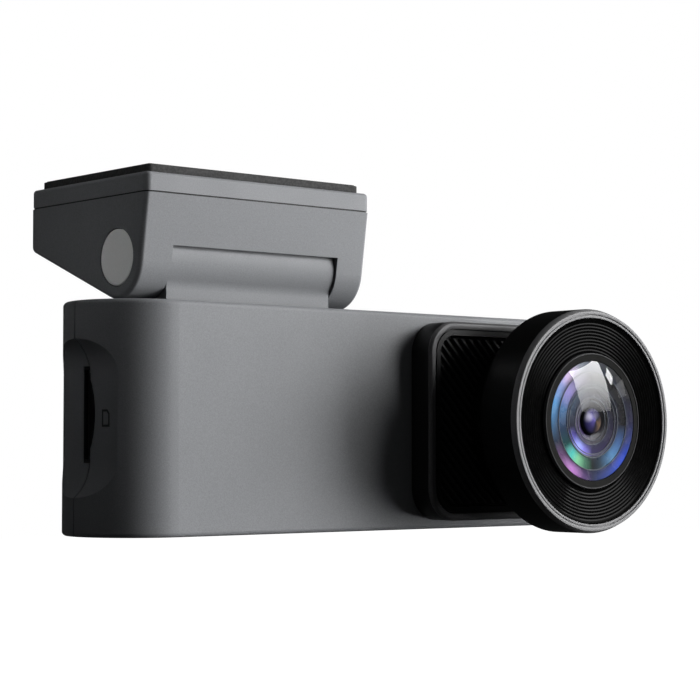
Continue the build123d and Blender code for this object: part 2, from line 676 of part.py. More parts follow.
NODES = {
    "adhesive_pad": adhesive_pad, "mount_cap": mount_cap, "cap_screws": cap_screws,
    "mount_housing": mount_housing, "hinge_pin": hinge_pin, "wave_washer": wave_washer,
    "hinge_nut": hinge_nut, "friction_washers": friction_washers, "stem": stem,
    "front_shell": front_shell, "rear_shell": rear_shell, "case_screws": case_screws,
    "lens_frame": lens_frame, "ribbed_panel": ribbed_panel, "lens_barrel": lens_barrel,
    "lens_rim": lens_rim, "lens_dish": lens_dish, "glass_retainer": glass_retainer,
    "front_glass": front_glass, "lens_cell": lens_cell, "second_lens": second_lens,
    "third_lens": third_lens, "fourth_lens": fourth_lens, "rear_lens": rear_lens,
    "lens_spacers": lens_spacers, "aperture_stop": aperture_stop, "lens_holder": lens_holder,
    "holder_screws": holder_screws, "infrared_filter": infrared_filter,
    "image_sensor": image_sensor, "sensor_board": sensor_board, "main_board": main_board,
    "processor": processor, "thermal_pad": thermal_pad, "heat_spreader": heat_spreader,
    "memory_chip": memory_chip, "power_inductors": power_inductors,
    "motion_sensor": motion_sensor, "wireless_module": wireless_module,
    "antenna_patch": antenna_patch, "supercapacitors": supercapacitors,
    "ribbon_connectors": ribbon_connectors, "ribbon_cable": ribbon_cable,
    "card_socket": card_socket, "memory_card": memory_card, "usb_socket": usb_socket,
    "speaker": speaker, "speaker_mesh": speaker_mesh, "microphone": microphone,
    "status_led": status_led, "light_pipe": light_pipe,
    "display_panel": display_panel, "display_glass": display_glass, "key_switches": key_switches,
}

os.makedirs("parts", exist_ok=True)
for name, make in NODES.items():
    save(make(), name)
save(pin_cap(-1), "pin_cap_left")
save(pin_cap(1), "pin_cap_right")
for name, (x, z) in zip(KEY_NAMES, key_places()):
    save(key(x, z), name)
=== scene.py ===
# %% [markdown]
# # A windscreen dash camera
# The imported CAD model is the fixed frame: it says where every part is and how it moves. This lesson
# adds the looks. Each step first says what the real piece is like, then how it is made and why.

# %% Load the frame
import math

import bpy
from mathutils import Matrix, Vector


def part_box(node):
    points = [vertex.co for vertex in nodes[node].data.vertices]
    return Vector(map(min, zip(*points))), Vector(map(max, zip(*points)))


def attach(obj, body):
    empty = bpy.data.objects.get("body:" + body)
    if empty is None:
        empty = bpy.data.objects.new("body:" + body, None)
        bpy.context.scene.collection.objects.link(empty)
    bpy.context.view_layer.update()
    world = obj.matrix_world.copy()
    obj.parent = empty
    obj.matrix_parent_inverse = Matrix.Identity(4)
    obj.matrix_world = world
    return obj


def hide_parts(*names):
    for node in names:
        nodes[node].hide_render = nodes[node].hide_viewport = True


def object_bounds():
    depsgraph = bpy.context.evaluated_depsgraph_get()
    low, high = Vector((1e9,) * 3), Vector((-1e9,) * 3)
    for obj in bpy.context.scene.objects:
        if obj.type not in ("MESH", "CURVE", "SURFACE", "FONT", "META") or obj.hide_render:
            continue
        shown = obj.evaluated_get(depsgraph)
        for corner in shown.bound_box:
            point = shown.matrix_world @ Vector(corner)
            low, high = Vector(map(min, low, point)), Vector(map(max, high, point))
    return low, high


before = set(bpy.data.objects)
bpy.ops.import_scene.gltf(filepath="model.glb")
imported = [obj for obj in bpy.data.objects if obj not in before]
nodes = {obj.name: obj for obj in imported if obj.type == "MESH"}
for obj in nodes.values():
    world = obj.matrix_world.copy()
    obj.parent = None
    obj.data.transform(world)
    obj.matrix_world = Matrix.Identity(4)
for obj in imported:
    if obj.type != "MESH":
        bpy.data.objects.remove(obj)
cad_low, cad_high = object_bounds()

MM = 0.001
scene = bpy.context.scene
size_mm = [round(v / MM, 1) for v in cad_high - cad_low]
print("frame holds", len(nodes), "nodes and measures", size_mm, "mm")

# %% [markdown]
# ## Where the camera stands
# A calm perspective comes from standing a few object lengths away with a long lens. The viewer stands to
# the left of the lens axis, almost level with the body, and looks up a little. A long focal length keeps
# the near left end from looking too big beside the far lens.

# %% The camera
VIEW_TURN = math.radians(-40.43)       # turned right, from looking along +Y
VIEW_LIFT = math.radians(92.754)       # 90 would be level
VIEW_PLACE = Vector((-167.4, -228.0, -36.5)) * MM
FOCAL_LENGTH, SENSOR = 105.95, 36      # mm

bpy.ops.object.camera_add(location=VIEW_PLACE, rotation=(VIEW_LIFT, 0, VIEW_TURN))
viewer = bpy.context.object
viewer.name = "viewer"
viewer.data.lens = FOCAL_LENGTH
viewer.data.sensor_width = SENSOR
viewer.data.clip_start = 0.01
viewer.data.clip_end = 20
scene.camera = viewer
print("camera is", round(VIEW_PLACE.length / MM), "mm from the adhesive pad")

# %% [markdown]
# ## A white studio
# The room is white where the viewer looks at it, but it lights the object only a little, so that dark
# plastic stays dark. The world mixes two strengths for that: bright for the background, dim for light.
# The floor is far below, because this camera hangs from glass and stands on nothing.

# %% World and floor
SEEN_STRENGTH, FELT_STRENGTH = 1.0, 0.024
FLOOR_DROP, FLOOR_SIZE, FLOOR_GLOW = 0.30, 12, 1.05

scene.view_settings.view_transform = "Standard"
scene.view_settings.look = "None"

world = bpy.data.worlds.new("white_room")
scene.world = world
world.use_nodes = True
tree = world.node_tree
tree.nodes.clear()
seen = tree.nodes.new("ShaderNodeBackground")
seen.inputs["Color"].default_value = (1, 1, 1, 1)
seen.inputs["Strength"].default_value = SEEN_STRENGTH
felt = tree.nodes.new("ShaderNodeBackground")
felt.inputs["Color"].default_value = (0.95, 0.97, 1, 1)
felt.inputs["Strength"].default_value = FELT_STRENGTH
path = tree.nodes.new("ShaderNodeLightPath")
mix = tree.nodes.new("ShaderNodeMixShader")
out = tree.nodes.new("ShaderNodeOutputWorld")
tree.links.new(path.outputs["Is Camera Ray"], mix.inputs["Fac"])
tree.links.new(felt.outputs["Background"], mix.inputs[1])
tree.links.new(seen.outputs["Background"], mix.inputs[2])
tree.links.new(mix.outputs["Shader"], out.inputs["Surface"])

bpy.ops.mesh.primitive_plane_add(size=FLOOR_SIZE, location=(0, 0, cad_low.z - FLOOR_DROP))
floor = bpy.context.object
floor.name = "pale_floor"
floor_paint = bpy.data.materials.new("pale_floor")
floor_paint.use_nodes = True
paint = floor_paint.node_tree.nodes["Principled BSDF"]
paint.inputs["Base Color"].default_value = (0.9, 0.9, 0.9, 1)
paint.inputs["Roughness"].default_value = 0.8
paint.inputs["Emission Color"].default_value = (1, 1, 1, 1)
paint.inputs["Emission Strength"].default_value = FLOOR_GLOW
floor.data.materials.append(floor_paint)
floor.visible_glossy = False
floor.visible_diffuse = False
floor.visible_transmission = False
print("floor lies", FLOOR_DROP, "m under the object")

# %% [markdown]
# ## Soft boxes
# Gloss shows what the lights look like, so each light is a rectangle with a job. The helper hangs one by
# its turn and lift round the object, as on a stand that is walked round it. A light that would spoil a
# reflection can be hidden from gloss, and a light can fade towards its lower edge.


# %% A helper that hangs a soft box
def soft_box(name, turn, lift, distance, width, height, power, fade=None, in_gloss=True, aim=None):
    """A rectangle aimed at the object; turn 0 is in front of the lens and grows towards +X."""
    a, e = math.radians(turn), math.radians(lift)
    aim = aim or (cad_low + cad_high) / 2
    away = Vector((math.sin(a) * math.cos(e), -math.cos(a) * math.cos(e), math.sin(e)))
    bpy.ops.object.light_add(type="AREA", location=aim + away * distance)
    lamp = bpy.context.object
    lamp.name = name
    lamp.rotation_euler = away.to_track_quat("Z", "Y").to_euler()
    lamp.data.shape = "RECTANGLE"
    lamp.data.size = width
    lamp.data.size_y = height
    lamp.data.energy = power
    lamp.visible_glossy = in_gloss
    if fade is not None:
        lamp.data.use_nodes = True
        glow = lamp.data.node_tree
        spot = glow.nodes.new("ShaderNodeNewGeometry")
        split = glow.nodes.new("ShaderNodeSeparateXYZ")
        span = glow.nodes.new("ShaderNodeMapRange")
        span.inputs["To Min"].default_value = fade
        span.inputs["To Max"].default_value = 2 - fade
        glow.links.new(spot.outputs["Parametric"], split.inputs["Vector"])
        glow.links.new(split.outputs["Y"], span.inputs["Value"])
        glow.links.new(span.outputs["Result"], glow.nodes["Emission"].inputs["Strength"])
    return lamp


# %% [markdown]
# ## The lights
# The key box hangs in front and to the right and is the bright window in the dome. The side box stands
# lower and further right: it throws the wide soft shadow of the lens to the left, and no gloss shows it.
# Two small cards beside the key box are the two faint lights at the window's right. The right card and
# the overhead box draw the ring's edge and its top, and the rear box only lightens the tops. On the left
# there is a weak fill and a narrow spot on the mount, so the left end falls into shade.

# %% The lights
# turn and lift in degrees, then distance, width and height in metres, and power in watts
soft_box("key_box", 44, 15.5, 1.0, 0.49, 0.39, 6.2, fade=0.2)
soft_box("side_box", 61, 4, 1.0, 0.62, 0.6, 25.0, in_gloss=False)
small_card = soft_box("small_card", 64, 17.5, 0.9, 0.08, 0.08, 0.3)
small_card.rotation_euler.rotate_axis("Z", math.radians(25))
soft_box("dim_card", 73, 11, 0.9, 0.16, 0.08, 0.035)
soft_box("right_card", 95, 48, 1.2, 0.9, 0.6, 1.2)
soft_box("top_box", 5, 80, 0.9, 0.5, 0.4, 0.6)
soft_box("left_fill", -86, 8, 1.4, 0.8, 0.8, 0.25)
soft_box("rear_box", 125, 12, 1.2, 0.8, 0.6, 12, in_gloss=False)

mount_low, mount_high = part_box("mount_cap")
MOUNT_LEVEL = -6                       # height of the spot's aim on the mount's left side, in mm
mount_spot = soft_box("mount_spot", -88, 42, 0.25, 0.025, 0.025, 0.0011, in_gloss=False,
                      aim=Vector((mount_low.x, 0, MOUNT_LEVEL * MM)))
mount_spot.data.spread = math.radians(16)
mount_spot.visible_camera = False

# %% [markdown]
# ## Where things are
# The lens turns about one axis. Its place and the height of the front come from the rim's own box in the
# frame, so the looks follow the CAD model if that is ever made again.

# %% The lens axis
rim_low, rim_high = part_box("lens_rim")
AXIS_X = (rim_low.x + rim_high.x) / 2
AXIS_Z = (rim_low.z + rim_high.z) / 2
RIM_R = (rim_high.x - rim_low.x) / 2 / MM
FRONT = rim_low.y                      # depths are measured back from here, in mm
print("lens axis at x", round(AXIS_X / MM, 2), "z", round(AXIS_Z / MM, 2), "mm")
print("rim radius", round(RIM_R, 2), "mm")

# %% [markdown]
# ## Finishes
# A finish is a Principled shader with its detail from noise on Object coordinates, which are metres
# here, so a scale of 5000 gives grains of about 0.2 mm. Fine grain goes into colour, roughness and
# bump together, because a real moulding shows its grain in all three.


# %% Helpers for materials
GRAIN_LOW, GRAIN_HIGH = 0.3, 0.7       # noise seldom leaves this range


def shader_of(name):
    finish = bpy.data.materials.new(name)
    finish.use_nodes = True
    return finish, finish.node_tree, finish.node_tree.nodes["Principled BSDF"]


def grain(tree, scale, detail=3.0):
    """Noise fixed to the object, for grain."""
    place = tree.nodes.new("ShaderNodeTexCoord")
    noise = tree.nodes.new("ShaderNodeTexNoise")
    noise.inputs["Scale"].default_value = scale
    noise.inputs["Detail"].default_value = detail
    tree.links.new(place.outputs["Object"], noise.inputs["Vector"])
    return noise.outputs["Fac"]


def spread(tree, factor, low, high):
    """Turns the usual range of noise into the range low to high."""
    span = tree.nodes.new("ShaderNodeMapRange")
    span.inputs["From Min"].default_value = GRAIN_LOW
    span.inputs["From Max"].default_value = GRAIN_HIGH
    span.inputs["To Min"].default_value = low
    span.inputs["To Max"].default_value = high
    tree.links.new(factor, span.inputs["Value"])
    return span.outputs["Result"]


def tint(tree, factor, dark, light):
    """Colour between dark and light, by the factor."""
    ramp = tree.nodes.new("ShaderNodeValToRGB")
    ramp.color_ramp.elements[0].position = GRAIN_LOW
    ramp.color_ramp.elements[0].color = (*dark, 1)
    ramp.color_ramp.elements[1].position = GRAIN_HIGH
    ramp.color_ramp.elements[1].color = (*light, 1)
    tree.links.new(factor, ramp.inputs["Fac"])
    return ramp.outputs["Color"]


def reckon(tree, operation, first, second=None):
    """One Math node; numbers are set on it and sockets are linked to it."""
    node = tree.nodes.new("ShaderNodeMath")
    node.operation = operation
    for socket, value in zip(node.inputs, (first, second)):
        if isinstance(value, (int, float)):
            socket.default_value = value
        elif value is not None:
            tree.links.new(value, socket)
    return node.outputs["Value"]


def bump(tree, shader, height, depth):
    """Raises the surface by the height factor, up to depth metres."""
    node = tree.nodes.new("ShaderNodeBump")
    node.inputs["Distance"].default_value = depth
    node.inputs["Strength"].default_value = 1.0
    tree.links.new(height, node.inputs["Height"])
    tree.links.new(node.outputs["Normal"], shader.inputs["Normal"])


def grained(name, dark, light, rough, metal=0.0, scale=5000, depth=0.00001, coat=0.0, specular=0.5):
    """The everyday finish: grain in colour, roughness and bump."""
    finish, tree, shader = shader_of(name)
    fleck = grain(tree, scale)
    cloud = grain(tree, scale / 40, 2.0)
    tree.links.new(tint(tree, fleck, dark, light), shader.inputs["Base Color"])
    tree.links.new(spread(tree, cloud, rough * 0.92, rough * 1.08), shader.inputs["Roughness"])
    shader.inputs["Metallic"].default_value = metal
    shader.inputs["Coat Weight"].default_value = coat
    shader.inputs["Specular IOR Level"].default_value = specular
    bump(tree, shader, fleck, depth)
    return finish


def greys(dark, light, blue=1.0):
    """A dark and a light grey, the blue channel a little stronger or weaker."""
    return (dark, dark, dark * blue), (light, light, light * blue)


# %% [markdown]
# ## The finishes of this camera
# The casing is painted plastic with a fine sparkle, so its grain is small and its gloss broad. The parts
# round the lens are blacker than they look: little specular keeps them black beside bright lights. Inside
# are solder mask, epoxy, copper and plated steel, each from the same helper with its own two colours.

# %% The finishes of this camera
case_grey = grained("case_grey", (0.155, 0.16, 0.168), (0.195, 0.2, 0.209), 0.5,
                    scale=6500, specular=0.35)
foam_black = grained("foam_black", *greys(0.025, 0.055), 0.85, scale=3500, depth=0.00004)
film_grey = grained("film_grey", *greys(0.035, 0.05), 0.4, scale=1500)
disc_grey = grained("disc_grey", *greys(0.85, 0.9), 0.7, specular=0.2)
satin_black = grained("satin_black", *greys(0.004, 0.008, 1.05), 0.38, specular=0.3)
rib_black = grained("rib_black", *greys(0.016, 0.024, 1.1), 0.42, specular=0.3)
frame_grey = grained("frame_grey", *greys(0.075, 0.095, 1.03), 0.5, metal=0.5)
ring_black = grained("ring_black", *greys(0.002, 0.005), 0.35, scale=4500, specular=0.1)
rim_grey = grained("rim_grey", *greys(0.16, 0.18, 1.02), 0.5,
                   metal=0.2, depth=0.0, specular=0.25)
gloss_black = grained("gloss_black", *greys(0.001, 0.002), 0.12, scale=900, depth=0.0, specular=0.03)
steel = grained("steel", *greys(0.45, 0.6), 0.3, metal=1.0)
alloy = grained("alloy", *greys(0.6, 0.72), 0.35, metal=1.0)
gold = grained("gold", (0.75, 0.5, 0.18), (0.85, 0.6, 0.25), 0.25, metal=1.0)
board_green = grained("board_green", (0.008, 0.07, 0.03), (0.012, 0.1, 0.045), 0.35,
                      scale=1500, coat=0.4)
chip_black = grained("chip_black", *greys(0.015, 0.028), 0.55)
soft_pad = grained("soft_pad", (0.28, 0.31, 0.35), (0.36, 0.39, 0.43), 0.75)
copper = grained("copper", (0.5, 0.25, 0.12), (0.62, 0.34, 0.18), 0.3, metal=1.0)
sleeve_blue = grained("sleeve_blue", (0.012, 0.02, 0.05), (0.02, 0.03, 0.07), 0.3, coat=0.3)
ivory = grained("ivory", (0.62, 0.6, 0.54), (0.72, 0.7, 0.63), 0.45)
amber_film = grained("amber_film", (0.35, 0.14, 0.02), (0.45, 0.2, 0.035), 0.3, coat=0.4)
key_grey = grained("key_grey", *greys(0.055, 0.08, 1.06), 0.45)
mark_white = grained("mark_white", *greys(0.55, 0.65), 0.6)
mark_and_shade_black = grained("mark_and_shade_black", *greys(0.004, 0.008), 0.6)
screen_black = grained("screen_black", *greys(0.003, 0.006), 0.08, scale=600, depth=0.0)
print("made", len(bpy.data.materials), "materials")

# %% [markdown]
# ## Clear finishes
# Moulded lenses, the filter and the light pipe bend light, so they transmit with their own index. A veil
# of noise in the roughness stands for the faint haze that keeps a real moulding from looking computed.


# %% Clear finishes
def clear(name, colour, rough, ior):
    finish, tree, shader = shader_of(name)
    shader.inputs["Base Color"].default_value = (*colour, 1)
    shader.inputs["Transmission Weight"].default_value = 1.0
    shader.inputs["IOR"].default_value = ior
    veil = grain(tree, 300)
    tree.links.new(spread(tree, veil, rough, rough + 0.02), shader.inputs["Roughness"])
    return finish


inner_glass = clear("inner_glass", (0.96, 0.98, 1.0), 0.0, 1.5)
filter_teal = clear("filter_teal", (0.6, 0.9, 0.85), 0.02, 1.5)
clear_acrylic = clear("clear_acrylic", (0.95, 0.95, 0.95), 0.1, 1.49)

# %% [markdown]
# ## Coated glass
# The dome's coating lets nearly all light through, and mirrors more towards its edge. A refracting shader
# would hide what lies behind it in noise, so the dome mixes Transparent with Glossy by Fresnel. Its inner
# side mirrors nothing: the two shells of one glass would double every light.


# %% The clear dome's finish
def see_through(name, ior):
    """Thin glass without bending: clear, with a mirror on its outer side that grows towards the edge."""
    finish = bpy.data.materials.new(name)
    finish.use_nodes = True
    tree = finish.node_tree
    tree.nodes.clear()
    clean = tree.nodes.new("ShaderNodeBsdfTransparent")
    mirror = tree.nodes.new("ShaderNodeBsdfGlossy")
    edge = tree.nodes.new("ShaderNodeFresnel")
    edge.inputs["IOR"].default_value = ior
    side = tree.nodes.new("ShaderNodeNewGeometry")
    outer_side = reckon(tree, "SUBTRACT", 1, side.outputs["Backfacing"])
    share = reckon(tree, "MULTIPLY", edge.outputs["Fac"], outer_side)
    smear = grain(tree, 250)
    tree.links.new(spread(tree, smear, 0.015, 0.035), mirror.inputs["Roughness"])
    joined = tree.nodes.new("ShaderNodeMixShader")
    shown = tree.nodes.new("ShaderNodeOutputMaterial")
    tree.links.new(share, joined.inputs["Fac"])
    tree.links.new(clean.outputs["BSDF"], joined.inputs[1])
    tree.links.new(mirror.outputs["BSDF"], joined.inputs[2])
    tree.links.new(joined.outputs["Shader"], shown.inputs["Surface"])
    return finish


dome_glass = see_through("dome_glass", 1.42)

# %% [markdown]
# ## Colours that run round the lens
# The coloured reflections of the coatings and the highlights on the lips are painted, in colours that
# change round the axis. The helpers measure each point's turn and distance from the axis on Object
# coordinates, and read a colour ramp along the turn. That works on any turned piece and needs no
# unwrapping.


# %% Polar coordinates and bands
def polar(tree, aside=0.0, above=0.0):
    """(turn, radius) about the lens axis: turn is 0.5 at the top and 0.75 to +X; radius is in mm."""
    place = tree.nodes.new("ShaderNodeTexCoord")
    split = tree.nodes.new("ShaderNodeSeparateXYZ")
    tree.links.new(place.outputs["Object"], split.inputs["Vector"])
    from_axis_x = reckon(tree, "SUBTRACT", split.outputs["X"], AXIS_X + aside * MM)
    from_axis_z = reckon(tree, "SUBTRACT", split.outputs["Z"], AXIS_Z + above * MM)
    across = reckon(tree, "DIVIDE", from_axis_x, MM)
    up = reckon(tree, "DIVIDE", from_axis_z, MM)
    angle = reckon(tree, "ARCTAN2", across, up)
    turn = reckon(tree, "ADD", reckon(tree, "DIVIDE", angle, 2 * math.pi), 0.5)
    across_squared = reckon(tree, "MULTIPLY", across, across)
    up_squared = reckon(tree, "MULTIPLY", up, up)
    return turn, reckon(tree, "SQRT", reckon(tree, "ADD", across_squared, up_squared))


def colour_round(tree, turn, stops):
    """A ramp through (degrees clockwise from the top, colour) stops."""
    node = tree.nodes.new("ShaderNodeValToRGB")
    places = sorted((degrees / 360 + 0.5, colour) for degrees, colour in stops)
    while len(node.color_ramp.elements) < len(places):
        node.color_ramp.elements.new(0.5)
    for element, (position, colour) in zip(node.color_ramp.elements, places):
        element.position = position
        element.color = (*colour, 1)
    tree.links.new(turn, node.inputs["Fac"])
    return node.outputs["Color"]


def share_between(tree, value, low, high):
    """0 below low, 1 above high, and a smooth step between."""
    span = tree.nodes.new("ShaderNodeMapRange")
    span.interpolation_type = "SMOOTHSTEP"
    span.inputs["From Min"].default_value = low
    span.inputs["From Max"].default_value = high
    tree.links.new(value, span.inputs["Value"])
    return span.outputs["Result"]


def mixed(tree, share, first, second):
    """Colour that goes from first to second by share; a plain colour is set on the node."""
    node = tree.nodes.new("ShaderNodeMix")
    node.data_type = "RGBA"
    tree.links.new(share, node.inputs["Factor"])
    for socket, value in zip((node.inputs["A"], node.inputs["B"]), (first, second)):
        if isinstance(value, tuple):
            socket.default_value = (*value, 1)
        else:
            tree.links.new(value, socket)
    return node.outputs["Result"]


# %% [markdown]
# ## The retainer's finish
# The retainer is blackened metal, and its raised outer lip carries a painted highlight. One finish does
# both: matt black inside LIP_START, and a lighter painted highlight beyond it.

# %% The retainer's finish
LIP_START, LIP_FULL = 9.2, 9.26        # distances from the axis, in mm
ring_grey, tree, shader = shader_of("ring_grey")
turn, radius = polar(tree)
matt = tint(tree, grain(tree, 5000), (0.003, 0.003, 0.0028), (0.005, 0.005, 0.0046))
# the lip's lighter colour is a painted highlight
painted_lip_highlight = mixed(tree, share_between(tree, radius, LIP_START, LIP_FULL), matt, (0.06, 0.06, 0.062))
tree.links.new(painted_lip_highlight, shader.inputs["Base Color"])
tree.links.new(spread(tree, grain(tree, 500), 0.5, 0.6), shader.inputs["Roughness"])
shader.inputs["Specular IOR Level"].default_value = 0.1

# %% [markdown]
# ## The coated rings
# Behind the dome each step between two elements shows its own coating, and the coloured reflections of
# the coatings are painted into the colour: blue at one side, violet, green and deep blue below, and nearly
# black at the right. Every band has its own ramp round the axis, carries a painted sheen beside its outer
# lip and sinks to a deep blue inwards. The lips are thin painted highlight lines over all of it.

# %% Coated rings
RING_LIPS = [6.8, 5.1, 4.6, 3.3, 2.75]      # radii of the lips on the coated face, where painted highlight lines run, in mm
INNER_EDGE, MIDDLE_EDGE, OUTER_EDGE = 3.3, 4.85, 6.8    # where the bands begin, in mm
NIGHT = (0.006, 0.006, 0.008)
SMOKE = (0.03, 0.031, 0.033)
PAINTED_LIP_LINE = (0.11, 0.12, 0.14)
DEEP = (0.012, 0.014, 0.03)
# the band colours are the coatings' hues with their coloured reflections painted in, dark where none falls
outer_band = [(-180, (0.02, 0.025, 0.06)), (-165, (0.07, 0.03, 0.12)), (-148, (0.42, 0.17, 0.5)),
              (-130, (0.12, 0.05, 0.14)), (-112, (0.012, 0.02, 0.04)), (-95, (0.03, 0.09, 0.18)),
              (-72, (0.055, 0.22, 0.46)), (-52, (0.2, 0.25, 0.5)), (-40, (0.5, 0.38, 0.6)),
              (-18, (0.16, 0.18, 0.22)), (0, (0.04, 0.045, 0.06)), (30, SMOKE),
              (62, (0.012, 0.012, 0.014)), (92, (0.012, 0.012, 0.04)), (112, (0.014, 0.03, 0.16)),
              (134, (0.012, 0.05, 0.42)), (158, (0.016, 0.04, 0.2)), (180, (0.02, 0.025, 0.06))]
middle_band = [(-180, NIGHT), (-165, (0.04, 0.13, 0.08)), (-150, (0.14, 0.42, 0.22)),
               (-138, (0.05, 0.4, 0.36)), (-122, (0.005, 0.04, 0.04)), (-100, (0.01, 0.025, 0.06)),
               (-75, (0.035, 0.11, 0.24)), (-50, (0.2, 0.17, 0.42)), (-30, (0.13, 0.12, 0.18)),
               (0, SMOKE), (40, (0.008, 0.008, 0.009)), (95, NIGHT), (120, (0.02, 0.07, 0.2)),
               (140, (0.05, 0.16, 0.32)), (165, (0.012, 0.03, 0.05)), (180, NIGHT)]
inner_band = [(-180, (0.02, 0.015, 0.06)), (-160, (0.14, 0.12, 0.5)), (-143, (0.25, 0.3, 0.8)),
              (-122, (0.06, 0.05, 0.3)), (-100, (0.01, 0.01, 0.02)), (-60, (0.03, 0.05, 0.08)),
              (0, (0.035, 0.036, 0.04)), (60, NIGHT), (180, (0.02, 0.015, 0.06))]
heart_band = [(-180, (0.02, 0.018, 0.03)), (-120, (0.05, 0.035, 0.1)), (-60, (0.08, 0.08, 0.1)),
              (0, (0.04, 0.04, 0.045)), (90, (0.012, 0.012, 0.014)), (180, (0.02, 0.018, 0.03))]

coated_rings_painted_reflections, tree, shader = shader_of("coated_rings_painted_reflections")
turn, radius = polar(tree)
colour = colour_round(tree, turn, heart_band)
bands = ((INNER_EDGE, inner_band), (MIDDLE_EDGE, middle_band), (OUTER_EDGE, outer_band))
for edge, stops in bands:
    beyond = share_between(tree, radius, edge - 0.12, edge + 0.12)
    # painted sheen: each band is brightest beside its outer lip
    glow = share_between(tree, radius, edge - 0.3, edge + 1.1)
    band = mixed(tree, glow, DEEP, colour_round(tree, turn, stops))
    colour = mixed(tree, beyond, colour, band)
# painted highlight lines along the lips
for lip in RING_LIPS:
    off_centre = reckon(tree, "ABSOLUTE", reckon(tree, "SUBTRACT", radius, lip))
    colour = mixed(tree, share_between(tree, off_centre, 0.03, 0.11), PAINTED_LIP_LINE, colour)
tree.links.new(colour, shader.inputs["Base Color"])
tree.links.new(spread(tree, grain(tree, 400), 0.24, 0.3), shader.inputs["Roughness"])
shader.inputs["Specular IOR Level"].default_value = 0.2

# %% [markdown]
# ## The bead's finish
# The innermost element bulges like a bead. Its colour holds a painted soft highlight up and to the left of
# its middle and a painted warm glint low at the right, and painted shade darkens it to black at its rim.

# %% The bead's finish
SHINE_ASIDE, SHINE_ABOVE = -1.25, 0.6       # of the painted highlight from the axis, in mm
BEAD_DARK_FROM, BEAD_DARK_TO = 1.4, 1.9
bead_glass, tree, shader = shader_of("bead_glass")
turn, radius = polar(tree)
# painted light round the bead: violet on the left, dark at the upper right, a warm glint low at the right
around_bead = [(-180, (0.02, 0.018, 0.03)), (-120, (0.07, 0.06, 0.22)), (-60, (0.12, 0.1, 0.36)),
               (0, (0.06, 0.055, 0.12)), (60, (0.015, 0.015, 0.02)), (125, (0.09, 0.06, 0.04)),
               (180, (0.02, 0.018, 0.03))]
body = colour_round(tree, turn, around_bead)
turn, far = polar(tree, SHINE_ASIDE, SHINE_ABOVE)
# the painted highlight
shine = mixed(tree, share_between(tree, far, 0.1, 1.0), (0.75, 0.72, 0.95), body)
painted_rim_shade = share_between(tree, radius, BEAD_DARK_FROM, BEAD_DARK_TO)
tree.links.new(mixed(tree, painted_rim_shade, shine, NIGHT), shader.inputs["Base Color"])
tree.links.new(spread(tree, grain(tree, 500), 0.2, 0.24), shader.inputs["Roughness"])
shader.inputs["Specular IOR Level"].default_value = 0.1
print("coated face has", len(RING_LIPS), "lips")

# %% [markdown]
# ## Dressing the parts that keep their CAD shape
# Hidden and plain parts are already right in shape, so they only take a finish. A table from finish to
# node names keeps that readable.

# %% Finishes for the CAD nodes
dressed = {
    case_grey: ["mount_cap", "mount_housing", "stem", "front_shell", "rear_shell"],
    foam_black: ["speaker_mesh"],
    disc_grey: ["pin_cap_left", "pin_cap_right"],
    satin_black: ["lens_frame", "lens_holder", "speaker", "memory_card"],
    ring_black: ["lens_barrel", "lens_cell", "lens_spacers", "aperture_stop"],
    inner_glass: ["second_lens", "third_lens", "fourth_lens", "rear_lens"],
    filter_teal: ["infrared_filter"],
    clear_acrylic: ["light_pipe"],
    steel: ["cap_screws", "hinge_pin", "wave_washer", "hinge_nut", "friction_washers", "case_screws",
            "holder_screws", "wireless_module", "card_socket", "usb_socket", "microphone"],
    alloy: ["heat_spreader"],
    board_green: ["main_board", "sensor_board"],
    chip_black: ["processor", "image_sensor", "memory_chip", "power_inductors", "motion_sensor",
                 "key_switches"],
    soft_pad: ["thermal_pad"],
    copper: ["antenna_patch"],
    sleeve_blue: ["supercapacitors"],
    ivory: ["ribbon_connectors", "status_led"],
    amber_film: ["ribbon_cable"],
    key_grey: ["menu_key", "up_key", "down_key", "power_key"],
    screen_black: ["display_panel", "display_glass"],
}
for finish, names in dressed.items():
    for name in names:
        nodes[name].data.materials.clear()
        nodes[name].data.materials.append(finish)
print("dressed", sum(len(names) for names in dressed.values()), "nodes")

# %% [markdown]
# ## Finishing a piece
# Every new piece goes the same way: it is modelled, its razor edges get a fine bevel because real edges
# catch a line of light, its place is put into its mesh, and it is dressed and told which body it rides on.


# %% Helpers for pieces
def only(piece):
    """Leaves this piece alone selected and active."""
    bpy.ops.object.select_all(action="DESELECT")
    piece.select_set(True)
    bpy.context.view_layer.objects.active = piece


def use_modifier(piece, kind, **values):
    """Adds a modifier, sets it and applies it."""
    only(piece)
    bpy.ops.object.modifier_add(type=kind)
    modifier = piece.modifiers[-1]
    for key, value in values.items():
        setattr(modifier, key, value)
    bpy.ops.object.modifier_apply(modifier=modifier.name)


def bevel(piece, width, segments=2, angle=35):
    use_modifier(piece, "BEVEL", width=width * MM, segments=segments, limit_method="ANGLE",
                 angle_limit=math.radians(angle))


def settle(piece, smooth=35):
    """Puts the piece's place into its mesh and shades its curved faces smooth."""
    only(piece)
    bpy.ops.object.transform_apply(location=True, rotation=True, scale=True)
    bpy.ops.object.shade_smooth_by_angle(angle=math.radians(smooth))


def dress(piece, body, finish, slot, *stands_for):
    """Gives a finished piece its material and its body, and hides the nodes it stands for; slot is not
    used.
    """
    piece.data.materials.clear()
    piece.data.materials.append(finish)
    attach(piece, body)
    if stands_for:
        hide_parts(*stands_for)
    print("made", piece.name, "with", len(piece.data.polygons), "faces")


# %% [markdown]
# ## Turning a ring
# Everything round the lens is turned: rim, dish, retainer, glass. By hand such a ring starts as a circle,
# and each step of its outline is one extrusion that is then scaled about the axis. The helper repeats
# that and closes the ring by bridging its first and last loops, or by merging at the axis.


# %% Helpers for turned pieces
def lens_point(depth):
    return (AXIS_X, FRONT + depth * MM, AXIS_Z)


